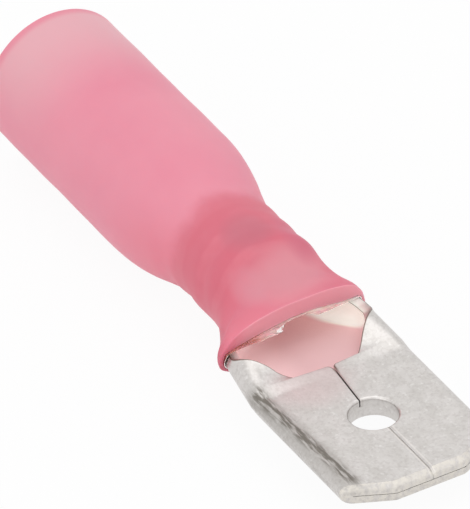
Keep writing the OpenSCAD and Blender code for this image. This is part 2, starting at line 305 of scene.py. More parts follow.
def pull_back(y):
    """How far the cut corner lies behind the tip at y."""
    return max(0.0, abs(y) - (tab_w / 2 - tip_cut_w)) * tip_cut_l / tip_cut_w


def shape_tip(x, y, z):
    """A sheet point moved to its place on the cut and coined tip."""
    near = float(clamp((x - (tip_x - 2.4)) / 2.4))
    to_edge = tip_x - x
    x = x - pull_back(y) * near
    bevel = float(clamp(1 - to_edge / bevel_l))
    rounding = float(clamp(1 - to_edge / 0.05)) ** 2
    top = z - tab_z
    if top > 0:
        top *= 1 - 0.50 * bevel - 0.12 * rounding
    else:
        top *= 1 - 0.20 * bevel - 0.10 * rounding
    return x, y, tab_z + top


print("upper edge of the tip:", [round(v, 3) for v in shape_tip(tip_x, 0, tab_z + tab_t / 2)])

# %% [markdown]
# The stations stand close together where the shape changes fast: in the funnel, at the flaps'
# corners and at the bevel. The barrel's grooves, pressed in from outside, and the fine bites in its
# bore are small changes of radius. The mesh also stores marks on its points, which say where the
# cut edges, the inner face and the coined bevel are, because a material can read such marks.

# %% Build the sheet
stations = list(np.linspace(barrel_x, funnel_x, 44))
stations += list(np.linspace(funnel_x, flap_x - 0.002, 85))[1:]
stations += list(flap_x + 0.22 * (1 - np.cos(np.linspace(0, math.pi / 2, 9))))
stations += list(np.linspace(flap_x + 0.26, hole_x - 0.01, 30))
stations += list(np.linspace(hole_x + 0.01, tip_x - 0.28, 30))
stations += [tip_x - d for d in (0.26, 0.245, 0.235, 0.22, 0.17, 0.12, 0.07, 0.05, 0.03, 0.015, 0)]


def pressed(x, y, z):
    """A point of the barrel, moved in by the grooves or out by the bites in the bore."""
    r = math.hypot(y, z)
    press = sum(math.exp(-((x - g) / 0.17) ** 2) for g in grooves)
    bite = sum(math.exp(-((x - g) / 0.07) ** 2) for g in serrations)
    grow = -0.06 * press if r > barrel_mid else 0.05 * bite
    return x, y * (r + grow) / r, z * (r + grow) / r


def store_mark(piece, name, values):
    """Keep one value per point on the mesh, for a material to read."""
    piece.data.attributes.new(name, "FLOAT", "POINT").data.foreach_set("value", values)


def build_sheet():
    points = []
    for x in stations:
        for y, z in sheet_ring(x):
            if x < funnel_x:
                points.append(pressed(x, y, z))
            else:
                points.append(shape_tip(x, y, z) if x > flap_x else (x, y, z))
    count = len(sheet_ring(20))
    faces = ring_faces(len(stations), count, flip=True)
    # Both ends are closed between the outer and the inner face
    last = (len(stations) - 1) * count
    for j in range(count // 2 - 1):
        k = count - 1 - j
        faces.append((j, j + 1, k - 1, k))
        faces.append((last + k, last + k - 1, last + j + 1, last + j))
    piece = mesh_piece("folded_sheet", points, faces, 38)
    for name, marks in zip(("cut_edge", "inner_face"), sheet_marks()):
        store_mark(piece, name, marks * len(stations))
    store_mark(piece, "coined", [float(x > tip_x - bevel_l) for x in stations for _ in range(count)])
    return piece


sheet = build_sheet()
print("sheet:", len(stations), "stations and", len(sheet.data.vertices), "points")

# %% [markdown]
# ## The locking hole
# A dimple in the socket snaps into this hole. On the real part the hole is punched and its upper
# rim is rolled over softly. A Boolean modifier with a turned cutter gives both at once: the
# cutter is straight, with a small chamfer below, and flares in a quarter circle at the top.

# %% Punch the hole
def turned_rings(profile, n=96):
    """Rings about the hole's axis, one for each (radius, height)."""
    turns = [2 * math.pi * j / n for j in range(n)]
    return [(hole_x + r * math.cos(a), r * math.sin(a), z) for r, z in profile for a in turns]


def turned_cutter(name, profile, n=96):
    """A closed solid turned about the hole's axis."""
    faces = ring_faces(len(profile), n)
    faces.append(tuple(range(n - 1, -1, -1)))
    faces.append(tuple((len(profile) - 1) * n + j for j in range(n)))
    return mesh_piece(name, turned_rings(profile, n), faces)


top_z = tab_z + tab_t / 2
low_z = tab_z - tab_t / 2
rim = 0.12
hole_profile = [(hole_r + 0.03, low_z - 0.5), (hole_r + 0.03, low_z), (hole_r, low_z + 0.04)]
for i in range(9):
    a = math.pi / 2 * i / 8
    hole_profile.append((hole_r + rim * (1 - math.cos(a)), top_z - rim + rim * math.sin(a)))
hole_profile.append((hole_r + rim + 0.3, top_z + 0.5))
punch = turned_cutter("hole_punch", hole_profile)
cut = sheet.modifiers.new("hole", "BOOLEAN")
cut.operation = "DIFFERENCE"
cut.solver = "EXACT"
cut.object = punch
bpy.context.view_layer.update()
evaluated = sheet.evaluated_get(bpy.context.evaluated_depsgraph_get())
cut_mesh = bpy.data.meshes.new_from_object(evaluated)
sheet.modifiers.clear()
sheet.data = cut_mesh
bpy.data.objects.remove(punch)
shade_smooth(cut_mesh, 30)
print("sheet after the hole:", len(cut_mesh.polygons), "faces")

# %% [markdown]
# The punch drags metal down the wall of the hole and wipes over the gap between the two layers. A
# thin ring inside the hole stands for that smear and hides the gap, as on the real part.

# %% The smear inside the hole
def build_smear(n=96):
    inner, outer = hole_r - 0.004, hole_r + 0.05
    low, high = tab_z - 0.09, tab_z + 0.09
    points = turned_rings(((inner, low), (inner, high), (outer, high), (outer, low)), n)
    faces = ring_faces(4, n, flip=True)
    faces += [(3 * n + j, j, (j + 1) % n, 3 * n + (j + 1) % n) for j in range(n)]
    return mesh_piece("hole_smear", points, faces)


smear = build_smear()
print("smear:", len(smear.data.vertices), "points")

# %% [markdown]
# ## The brazed seam
# Where the rolled sheet meets itself on top of the barrel, the gap is filled with braze. It only
# shows when you look into the sleeve, so a narrow bar with a rounded top is enough.

# %% Braze in the barrel's seam
def build_braze(half_w=0.07, half_h=0.15):
    points = []
    xs = np.linspace(barrel_x + 0.05, funnel_x + 0.3, 24)
    for x in xs:
        for j in range(12):
            a = 2 * math.pi * j / 12
            wide = half_w + 0.006 * math.sin(9 * x + j)
            points.append((x, wide * math.cos(a), barrel_mid + half_h * math.sin(a)))
    faces = ring_faces(len(xs), 12, flip=True)
    faces.append(tuple(range(12)))
    faces.append(tuple((len(xs) - 1) * 12 + j for j in range(11, -1, -1)))
    return mesh_piece("barrel_braze", points, faces)


braze = build_braze()
print("braze:", len(braze.data.vertices), "points")

# %% [markdown]
# ## The outline of the sleeve
# Heat-shrink tube starts as a plain tube. The maker shrinks one end onto the barrel, so the part
# has a wide body, a rounded shoulder, a neck and a mouth that flares over the funnel. Each
# station is an oval round a middle that sinks towards the mouth. The wide body and the neck are
# circles, and the mouth goes over to a flat, slightly square oval that keeps clear of the sheet.

# %% Sizes and radii of the sleeve
body_l = 8.2
shoulder_l = 4.2
neck_x = body_l + shoulder_l
jacket_r = 2.82
jacket_in_r = 2.50
liner_in_r = 2.25
neck_r = 2.115
neck_growth = 0.085
groove_sink = 0.03
glue_t = 0.37
glue_growth = 0.045
mouth_glue = 0.07
barrel_clear = 0.005
sheet_clear = 0.03
wall_low = 0.22
wall_high = 0.26
mouth_half_w = 2.98
mouth_half_h = 1.36
mouth_y = -0.14
mouth_z = -0.70


def shrink(x):
    return float(smooth(float(clamp((x - body_l) / shoulder_l)) ** 1.35))


def tube_radius(x, wide, narrow, growth, sink):
    """Radius of a sleeve surface between the wire end and the funnel."""
    r = mix(wide, narrow, shrink(x))
    r += growth * float(clamp((x - neck_x) / (funnel_x - neck_x)))
    return r - sink * max(math.exp(-((x - g) / 0.35) ** 2) for g in grooves)


for x in (9, 10, 11, 12):
    print("jacket radius at", x, "is", round(tube_radius(x, jacket_r, neck_r, neck_growth, 0), 2))

# %% [markdown]
# Outlines of different kinds have to be blended and compared, and that is easiest in directions
# from a middle. So every outline is turned into a list that holds its distance from the middle in
# each of the same even directions, which this lesson calls its reach.

# %% Outlines as reach
AROUND = 168
angles = 2 * math.pi * np.arange(AROUND) / AROUND
side_y = np.sin(angles)
side_z = -np.cos(angles)
TURNS = np.linspace(0, 2 * math.pi, 721)[:-1]


def middle_z(x):
    """Height of the point that the sleeve's outlines are measured from."""
    return mix(0.0, -0.6, float(smooth((x - 13.2) / 2.0)))


def reach(points, x):
    """Distance of a closed outline from its middle, in each of the even directions."""
    outline = np.array(points)
    z = outline[:, 1] - middle_z(x)
    turn = np.arctan2(outline[:, 0], -z) % (2 * math.pi)
    order = np.argsort(turn)
    return np.interp(angles, turn[order], np.hypot(outline[:, 0], z)[order], period=2 * math.pi)


def circle(r):
    return [(r * math.sin(a), -r * math.cos(a)) for a in TURNS]


print("reach of the neck:", reach(circle(neck_r), neck_x)[::42].round(2))

# %% [markdown]
# Over the funnel the hot sleeve pulls tight. It lies along the floor and round the bends, arches
# over the flaps' edges and bridges the open trough between them. The function below walks along
# that line at a given distance from the sheet.

# %% The line of a tight sleeve
def hug(x, low, high):
    """The outline that a tight sleeve takes round the sheet, low and high away from it."""
    floor, bend, height, angle, length = section(x)
    edge = length - floor - bend * angle
    r = bend + sheet_t / 2
    y0 = floor + r * math.sin(angle) + edge * math.cos(angle)
    z0 = height + bend - r * math.cos(angle) + edge * math.sin(angle)
    half = [(floor * i / 20, height - sheet_t / 2 - low) for i in range(20)]
    for i in range(61):
        p = angle * i / 60
        d = r + mix(low, high, ((1 - math.cos(p)) / 2) ** 4)
        half.append((floor + d * math.sin(p), height + bend - d * math.cos(p)))
    # Round the free edge, as far as the line that bridges the trough
    rise = 0.3 * float(smooth((x - funnel_x) / 1.1))
    last = max(angle, math.pi - math.atan(2 * rise / (y0 + high)))
    for i in range(1, 21):
        p = mix(angle, last, i / 20)
        d = mix(low, high, ((1 - math.cos(p)) / 2) ** 4)
        half.append((y0 + d * math.sin(p), z0 - d * math.cos(p)))
    y1, z1 = half[-1]
    arch = math.tan(math.pi - last) * y1 / 2
    half += [(y1 * (1 - i / 30), z1 + arch * i / 30 * (2 - i / 30)) for i in range(1, 31)]
    return half + [(-y, z) for y, z in half[-2:0:-1]]


print("points of the tight line:", len(hug(mouth_x, wall_low, wall_high)))

# %% [markdown]
# The sleeve has three surfaces: the jacket's outside, the face between jacket and glue, and the
# glue's inside. Each is a circle as far as the funnel. From there the outside flares from a circle
# to the mouth's oval, first below and later above, and a soft maximum keeps it outside the tight
# line. The other two follow the sheet, with glue between them that thins towards the mouth.

# %% The sleeve's three surfaces
def mouth_outline():
    """A flat oval that is squarer at its upper right."""
    mouth = []
    for a in TURNS:
        y, z = math.sin(a), -math.cos(a)
        power = mix(2.3, 3.6, float(smooth(y * 1.5) * smooth(z * 4 + 0.5)))
        d = (abs(y / mouth_half_w) ** power + abs(z / mouth_half_h) ** power) ** (-1 / power)
        mouth.append((d * y + mouth_y, d * z + mouth_z))
    return mouth


def jacket_outside(x):
    r = tube_radius(min(x, funnel_x), jacket_r, neck_r, neck_growth, groove_sink)
    neck = reach(circle(r), x)
    m = (x - funnel_x) / (mouth_x - funnel_x)
    if m <= 0:
        return neck
    even = float(clamp(m)) ** 1.6
    late = float(smooth(m))
    upper = smooth((side_z + 0.3 + 0.5 * side_y) / 1.2)
    free = mix(neck, reach(mouth_outline(), x), mix(even, late, upper))
    return soft_max(free, reach(hug(x, wall_low, wall_high), x), 0.004)


def jacket_inside(x):
    if x <= funnel_x:
        return reach(circle(tube_radius(x, jacket_in_r, barrel_r + glue_t, glue_growth, 0.0)), x)
    m = float(smooth((x - funnel_x) / (mouth_x - funnel_x)))
    glue = mix(glue_t + glue_growth, mouth_glue, m)
    return reach(hug(x, glue, glue), x)


def liner_inside(x):
    if x <= funnel_x:
        return reach(circle(tube_radius(x, liner_in_r, barrel_r + barrel_clear, 0.0, 0.0)), x)
    return reach(hug(x, sheet_clear, sheet_clear), x)


print("mouth, from the bottom round:", [round(float(v), 2) for v in jacket_outside(mouth_x)[::21]])

# %% [markdown]
# A moulded or shrunk sleeve is never a perfect tube. A little smooth unevenness, made from a few
# sine waves with fixed phases, keeps its outline and highlights alive without any randomness.
# Working out an outline is slow, so each surface is worked out once at closely spaced stations,
# and every later question is answered by reading between them.

# %% Unevenness and tables of reach
table_end = 18.1


def uneven(x, theta):
    """A few hundredths of a millimetre of smooth unevenness."""
    u = np.sin(1.3 * x + 2 * theta + 0.4) + 0.7 * np.sin(2.9 * x - 3 * theta + 1.1)
    v = np.sin(5.1 * x + theta) * np.sin(4 * theta - 0.8 * x)
    neck = smooth((x - 9.8) / 2.5)
    return 0.006 * u + 0.018 * neck * v


def table(surface):
    """The reach of a surface at closely spaced stations, ready to be looked up."""
    xs = np.unique(np.concatenate([np.linspace(0, neck_x, 60), np.linspace(neck_x, table_end, 120)]))
    return xs, np.array([surface(x) for x in xs]), np.array([middle_z(x) for x in xs])


def look_up(made, x):
    """Reach and middle height for one x per direction, read between the stations."""
    xs, reaches, middles = made
    i = np.clip(np.searchsorted(xs, x) - 1, 0, len(xs) - 2)
    t = clamp((x - xs[i]) / (xs[i + 1] - xs[i]))
    across = np.arange(AROUND)
    return mix(reaches[i, across], reaches[i + 1, across], t), mix(middles[i], middles[i + 1], t)


outer_table = table(jacket_outside)
inner_table = table(jacket_inside)
print("stations in a table:", len(outer_table[0]))

# %% [markdown]
# The tube is one walk along its outside and back along its inside, with a quarter circle at each
# rim, so the wall has a real thickness at the mouth where the eye can see it. The mouth was cut
# askew, so x differs from point to point round one ring. How far the cut moves a point depends on
# its height, and its height depends on x. Three rounds of working out both settle them.

# %% A tube with walls and rounded rims
def askew(x, y, z):
    """How far the cut moves a point along X. It reaches furthest on the left, least below."""
    above = 0.13 * smooth((z + 1.1) / 0.9) * (1 - smooth((y - 1.8) / 1.2))
    below = 0.25 * smooth((-0.7 - z) / 1.0) * (1 - 0.6 * smooth(y / 2))
    return (above - below - 0.06 * np.minimum(y, 0)) * float(smooth((x - funnel_x) / 1.5))


def rim_steps(r):
    """(distance from the end, inset) along a quarter circle, from the wall to the end face."""
    arcs = [math.pi / 2 * k / 6 for k in range(7)]
    return [(r * (1 - math.sin(a)), r * (1 - math.cos(a))) for a in arcs]


def build_tube(name, xs, outside, inside, r, stretch=None):
    """An open tube between two surfaces. stretch moves x for an uneven end."""
    steps = rim_steps(r)
    body = [x for x in xs if xs[0] + r < x < xs[-1] - r]
    walk = [(xs[0] + d, outside, i) for d, i in reversed(steps)]
    walk += [(x, outside, 0.0) for x in body]
    walk += [(xs[-1] - d, outside, i) for d, i in steps]
    walk += [(xs[-1] - d, inside, -i) for d, i in reversed(steps)]
    walk += [(x, inside, 0.0) for x in reversed(body)]
    walk += [(xs[0] + d, inside, -i) for d, i in steps]
    points = []
    end_face = []
    for x, made, inset in walk:
        end_face += [1.0 if x > xs[-1] - 0.4 * r else 0.0] * AROUND
        plain = stretch(x, angles) if stretch else np.full(AROUND, float(x))
        px = plain
        for _ in range(3):
            r_here, z_here = look_up(made, px)
            r_here = r_here - inset + uneven(px, angles)
            px = plain + askew(x, r_here * side_y, z_here + r_here * side_z)
        points += list(zip(px, r_here * side_y, z_here + r_here * side_z))
    faces = ring_faces(len(walk), AROUND, flip=True)
    last = (len(walk) - 1) * AROUND
    for j in range(AROUND):
        n = (j + 1) % AROUND
        faces.append((last + j, j, n, last + n)[::-1])
    piece = mesh_piece(name, points, faces, 60)
    store_mark(piece, "end_face", end_face)
    return piece


def spaced(*runs):
    """One list of stations from (start, end, count) runs."""
    xs = [runs[0][0]]
    for start, end, count in runs:
        xs += list(np.linspace(start, end, count + 1))[1:]
    return xs


jacket_rim_r = 0.06
jacket_xs = spaced((0, body_l, 24), (body_l, neck_x, 36), (neck_x, funnel_x, 40))
jacket_xs += spaced((funnel_x, mouth_x, 44))[1:]
jacket = build_tube("shrink_jacket", jacket_xs, outer_table, inner_table, jacket_rim_r)
print("jacket:", len(jacket.data.vertices), "points")

# %% [markdown]
# ## The hot-melt liner
# The liner is glue. It lines the whole sleeve and squeezes out a little at the mouth in a thin,
# glassy lip, with a crinkled bead on the left wall of the funnel. It is the same kind of tube, but
# the stations past the jacket's mouth are stretched by an amount that changes round the lip.

# %% Build the liner
lip_l = 0.42
bead_t = 0.16
liner_rim_r = 0.015


def lip_reach(theta):
    """How far the glue stands out, as a share of the longest place, round the mouth."""
    left = np.exp(-((theta - math.radians(246)) / 0.26) ** 2)
    right = np.exp(-((theta - math.radians(116)) / 0.22) ** 2)
    ripple = 0.5 + 0.5 * np.sin(17 * theta + 0.6) * np.sin(7 * theta + 1.9)
    return 0.05 + 0.60 * left + 0.35 * right + 0.45 * ripple * (left + 0.4 * right)


def lip_stretch(x, theta):
    if x <= mouth_x:
        return np.full(AROUND, float(x))
    return mouth_x + (x - mouth_x) * np.minimum(1.0, lip_reach(theta))


def bead(x):
    """A crinkled lump of glue where the sleeve ends on the left wall of the funnel."""
    lump = np.exp(-((angles - math.radians(241)) / 0.26) ** 2)
    crinkle = 0.62 + 0.38 * np.sin(29 * angles + 14 * x)
    return lump * crinkle * float(smooth((x - 17.34) / 0.10))


def glue_outside(x):
    return jacket_inside(x) - 0.006 + bead_t * bead(x)


def glue_inside(x):
    return liner_inside(x) - bead_t * bead(x)


liner_xs = spaced((0, body_l, 16), (body_l, neck_x, 30), (neck_x, funnel_x, 20))
liner_xs += spaced((funnel_x, mouth_x, 30), (mouth_x, mouth_x + lip_l, 8))[1:]
glue_tables = (table(glue_outside), table(glue_inside))
liner = build_tube("glue_liner", liner_xs, *glue_tables, liner_rim_r, lip_stretch)
print("liner:", len(liner.data.vertices), "points")

# %% [markdown]
# ## Joining the pieces to the frame
# Each mesh now rides on the one body of the part. The solids themselves stay in the file for
# collision but are no longer drawn.

# %% Ride and replace
for piece in (sheet, smear, braze, jacket, liner):
    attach(piece, "root")
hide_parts("terminal")
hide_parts("jacket")
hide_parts("adhesive_liner")
print("pieces ride on root")

# %% [markdown]
# ## Colours and small node helpers
# Colours are written as display values from 0 to 1. Blender's shaders work with linear light, so
# one helper converts them. The others keep the node trees readable: they add nodes, feed their
# inputs, work out sums and blend colours. A socket knows which tree it belongs to, so a helper
# that is given a socket puts its node in the same tree.

# %% Colour and node helpers
def paint(r, g, b):
    """A display colour as the linear colour that a shader needs."""
    values = []
    for c in (r, g, b):
        values.append(c / 12.92 if c <= 0.04045 else ((c + 0.055) / 1.055) ** 2.4)
    return (*values, 1.0)


def feed(socket, value):
    """Give an input a plain value, or join it to another node's output."""
    if isinstance(value, bpy.types.NodeSocket):
        socket.id_data.links.new(value, socket)
    else:
        socket.default_value = value


def feed_inputs(node, **inputs):
    """Feed a node's inputs by name. An underscore stands for a space."""
    for name, value in inputs.items():
        feed(node.inputs[name.replace("_", " ")], value)
    return node


def add_node(tree, kind, **inputs):
    return feed_inputs(tree.nodes.new(kind), **inputs)


def tree_of(*values):
    """The node tree that the first socket among the values belongs to."""
    return next(v.id_data for v in values if isinstance(v, bpy.types.NodeSocket))


def maths(operation, a, b=None, c=None, clamped=False):
    """A Math node. Each of a, b and c is a number or a socket."""
    node = tree_of(a, b, c).nodes.new("ShaderNodeMath")
    node.operation = operation
    node.use_clamp = clamped
    for socket, value in zip(node.inputs, (a, b, c)):
        if value is not None:
            feed(socket, value)
    return node.outputs[0]


def blend_colour(factor, a, b):
    """A Mix node for colours. Factor, a and b are each a value or a socket."""
    node = tree_of(factor, a, b).nodes.new("ShaderNodeMix")
    node.data_type = "RGBA"
    node.clamp_factor = True
    for i, value in ((0, factor), (6, a), (7, b)):
        feed(node.inputs[i], value)
    return node.outputs[2]


def tint(mask, share, colour, target):
    """The colour moved towards a target by a share of a mask."""
    return blend_colour(maths("MULTIPLY", mask, share), colour, target)


print("white is", paint(1, 1, 1))

# %% [markdown]
# Each finish is one Principled shader in its own material. Three more helpers make such a
# material, give it a bump and put it on its pieces.

# %% Material helpers
def new_material(name):
    material = bpy.data.materials.new(name)
    material.use_nodes = True
    tree = material.node_tree
    tree.nodes.clear()
    shader = tree.nodes.new("ShaderNodeBsdfPrincipled")
    add_node(tree, "ShaderNodeOutputMaterial", Surface=shader.outputs[0])
    return material, tree, shader


def add_bump(shader, height, strength, distance):
    bump = add_node(shader.id_data, "ShaderNodeBump", Strength=strength, Distance=distance)
    feed_inputs(bump, Height=height)
    feed_inputs(shader, Normal=bump.outputs[0])


def dress(material, *pieces):
    for piece in pieces:
        piece.data.materials.clear()
        piece.data.materials.append(material)
    print(material.name, "has", len(material.node_tree.nodes), "nodes")


print("material helpers ready")

# %% [markdown]
# ## Two shared effects
# All three finishes have soft cloudy variation and a fine surface grain. An effect that several
# materials use belongs in a node group. The first group turns noise into a mask between 0 and 1
# with a chosen contrast. The second puts out fine grain as a height.

# %% Node groups for clouds and grain
def new_group(name, result, **inputs):
    """A group that takes a Vector and named numbers, and puts out one number."""
    group = bpy.data.node_groups.new(name, "ShaderNodeTree")
    sockets = group.interface
    sockets.new_socket(name="Vector", in_out="INPUT", socket_type="NodeSocketVector")
    for socket, value in inputs.items():
        made = sockets.new_socket(name=socket, in_out="INPUT", socket_type="NodeSocketFloat")
        made.default_value = value
    sockets.new_socket(name=result, in_out="OUTPUT", socket_type="NodeSocketFloat")
    given = group.nodes.new("NodeGroupInput").outputs
    return group, given, group.nodes.new("NodeGroupOutput").inputs[0]


def make_clouds():
    plain = {"Scale": 400.0, "Detail": 3.0, "Low": 0.35, "High": 0.65}
    group, given, result = new_group("soft clouds", "Mask", **plain)
    noise = add_node(group, "ShaderNodeTexNoise", Vector=given["Vector"], Scale=given["Scale"])
    feed_inputs(noise, Detail=given["Detail"], Roughness=0.55)
    ramp = add_node(group, "ShaderNodeMapRange", Value=noise.outputs["Fac"])
    feed_inputs(ramp, From_Min=given["Low"], From_Max=given["High"])
    feed(result, ramp.outputs[0])
    return group


def make_grain():
    group, given, result = new_group("fine grain", "Height", Scale=9000.0, Pits=0.3)
    place, scale = given["Vector"], given["Scale"]
    noise = add_node(group, "ShaderNodeTexNoise", Vector=place, Scale=scale, Detail=2.0, Roughness=0.6)
    pits = add_node(group, "ShaderNodeTexVoronoi", Vector=place, Scale=maths("MULTIPLY", scale, 0.35))
    dent = maths("SMOOTH_MIN", pits.outputs["Distance"], 0.25, 0.1)
    dent = maths("MULTIPLY", dent, given["Pits"])
    feed(result, maths("ADD", noise.outputs["Fac"], dent))
    return group


def use_group(group, place, **values):
    node = tree_of(place).nodes.new("ShaderNodeGroup")
    node.node_tree = group
    return feed_inputs(node, Vector=place, **values).outputs[0]


clouds = make_clouds()
grain = make_grain()
print("groups:", clouds.name, "and", grain.name)

# %% [markdown]
# ## Masks
# A mask is a number from 0 to 1 that says how much of a mark a point gets. Most marks hang on
# where a point lies, which the Object texture coordinate gives in metres. So these helpers make
# masks along one direction, beside a line, round a spot and in streaks. Others come from the marks
# that were stored on the mesh.

# %% Masks from places and stored marks
def place_of(tree):
    """The object coordinate, and its x, y and z in millimetres."""
    place = tree.nodes.new("ShaderNodeTexCoord").outputs["Object"]
    split = add_node(tree, "ShaderNodeSeparateXYZ", Vector=place)
    return place, [maths("MULTIPLY", split.outputs[i], 1000.0) for i in range(3)]


def band(value, start, end):
    """0 before start, 1 after end, smooth between; the other way round if end is less."""
    node = add_node(tree_of(value), "ShaderNodeMapRange", Value=value)
    feed_inputs(node, From_Min=min(start, end), From_Max=max(start, end))
    feed_inputs(node, To_Min=float(end < start), To_Max=float(end >= start))
    node.interpolation_type = "SMOOTHSTEP"
    return node.outputs[0]


def both(*masks):
    value = masks[0]
    for other in masks[1:]:
        value = maths("MULTIPLY", value, other)
    return value


def near_line(a, b, slope, start, width):
    """A soft mask along the line b = start + slope * a, falling to 0 at its half width."""
    off = maths("ADD", b, maths("MULTIPLY_ADD", a, -slope, -start))
    return band(maths("ABSOLUTE", off), width, width * 0.3)


def spot(xyz, centre, size):
    """A soft spot in millimetres: 1 at its centre, fading to 0 at its size along X, Y and Z."""
    total = None
    for value, middle, radius in zip(xyz, centre, size):
        part = maths("MULTIPLY_ADD", value, 1 / radius, -middle / radius)
        part = maths("MULTIPLY", part, part)
        total = part if total is None else maths("ADD", total, part)
    return band(total, 1.0, 0.0)


def dab(xyz, colour, centre, size, share, shade):
    """The colour with a soft spot of another shade on it."""
    return tint(spot(xyz, centre, size), share, colour, paint(*shade))


def streaks(place, low, high):
    """Fine clouds drawn out along X, like marks that a press leaves along the strip."""
    long_way = add_node(tree_of(place), "ShaderNodeMapping", Vector=place, Scale=(0.14, 1.0, 1.0))
    return use_group(clouds, long_way.outputs[0], Scale=9000.0, Detail=5.0, Low=low, High=high)


def marked(tree, name):
    """A mask that was stored on the mesh's points."""
    node = tree.nodes.new("ShaderNodeAttribute")
    node.attribute_name = name
    return node.outputs["Fac"]


print("mask helpers ready")

# %% [markdown]
# ## Tinned brass
# Tin plating is a soft, warm grey metal with a satin sheen. It isn't a mirror: the grain of the
# rolled strip blurs what it reflects. Clouds of three sizes blend close shades of grey. Where the
# press squeezed the left fold it left a scuffed band, made of dark streaks on a broad soft shade.

# %% Plating and scuffs
def plating_and_reflection(place, xyz, mottle):
    """The colour of the plating, with a painted pink reflection of the sleeve beside the funnel."""
    speck = use_group(clouds, place, Scale=8000.0, Detail=2.0, Low=0.45, High=0.72)
    glint = use_group(clouds, place, Scale=6500.0, Detail=3.0, Low=0.58, High=0.72)
    colour = blend_colour(mottle, paint(0.805, 0.79, 0.775), paint(0.85, 0.835, 0.825))
    colour = tint(speck, 0.40, colour, paint(0.70, 0.675, 0.66))
    colour = tint(glint, 0.6, colour, paint(0.90, 0.89, 0.88))
    # A painted pink reflection beside the funnel, where the metal mirrors the sleeve
    return dab(xyz, colour, (20.0, -1.0, -0.8), (1.7, 1.8, 1.5), 0.40, (0.85, 0.755, 0.755))


def scuffs(place, xyz):
    """A mask of the scuffed band, which drifts inwards towards the tip."""
    x, y, z = xyz
    top = both(band(x, 18.9, 19.6), band(x, 26.2, 25.4))
    top = both(top, band(z, tab_z - 0.1, tab_z + 0.1))
    fold = both(near_line(x, y, 0.05, -3.88, 0.34), top)
    broad = both(near_line(x, y, 0.05, -3.95, 0.60), top)
    side = both(band(y, -2.85, -3.05), band(x, 18.0, 19.4))
    side = both(side, streaks(place, 0.5, 0.6))
    dark = maths("MULTIPLY", both(fold, streaks(place, 0.40, 0.58)), 0.62)
    dark = maths("ADD", dark, maths("MULTIPLY", broad, 0.30), clamped=True)
    return maths("MAXIMUM", dark, maths("MULTIPLY", side, 0.2))


print("plating and scuffs ready")

# %% [markdown]
# The funnel's trough is lined with a thin layer of glue, painted pink as a reflection of the sleeve,
# except on the right wall, which gets a painted white highlight. In daylight the thin sleeve lets
# light through, and the trough is lit from above. The jacket of this lesson lets too little light
# through for that, so a faint emission on the metal stands for it.

# %% The trough of the funnel
def trough(tree, xyz):
    """Masks of glue with a painted pink reflection and of the wall's painted highlight, and their
    light.
    """
    x, y, _ = xyz
    # Glue on the trough's inner face, which also carries a painted pink reflection of the sleeve
    film_and_reflection = both(marked(tree, "inner_face"), band(x, 14.8, 15.6), band(x, 19.9, 19.4))
    # A painted white highlight on the trough's right wall
    wall_highlight = band(maths("MULTIPLY_ADD", x, -0.87, y), -13.1, -12.8)
    deep = band(x, 18.6, 15.8)
    warm = blend_colour(deep, (0.01, 0.005, 0.005, 1.0), (0.15, 0.05, 0.05, 1.0))
    warm = blend_colour(band(y, -0.2, -1.8), warm, (0.22, 0.16, 0.16, 1.0))
    warm = blend_colour(wall_highlight, warm, (0.16, 0.20, 0.18, 1.0))
    return film_and_reflection, wall_highlight, blend_colour(film_and_reflection, (0.0, 0.0, 0.0, 1.0), warm)


print("trough ready")

# %% [markdown]
# The tools leave three more marks. A groove runs along the seam beyond the hole, and its lips get
# a painted highlight. The coined bevel is rough and creamy. The cut edges in the funnel show bare
# brass, which looks brown in the shade. Worn and coined metal is also duller, so it gets more
# roughness.

# %% The metal material
def seam_lip_highlights(xyz):
    """A mask of the painted highlights on the two lips of the groove along the seam."""
    x, y, z = xyz
    off = maths("ABSOLUTE", maths("ADD", y, -seam_past_hole))
    lips = both(band(off, 0.05, 0.09), band(off, 0.14, 0.10))
    lips = both(lips, band(x, hole_x + 0.9, hole_x + 1.0))
    return both(lips, band(z, tab_z, tab_z + 0.2))


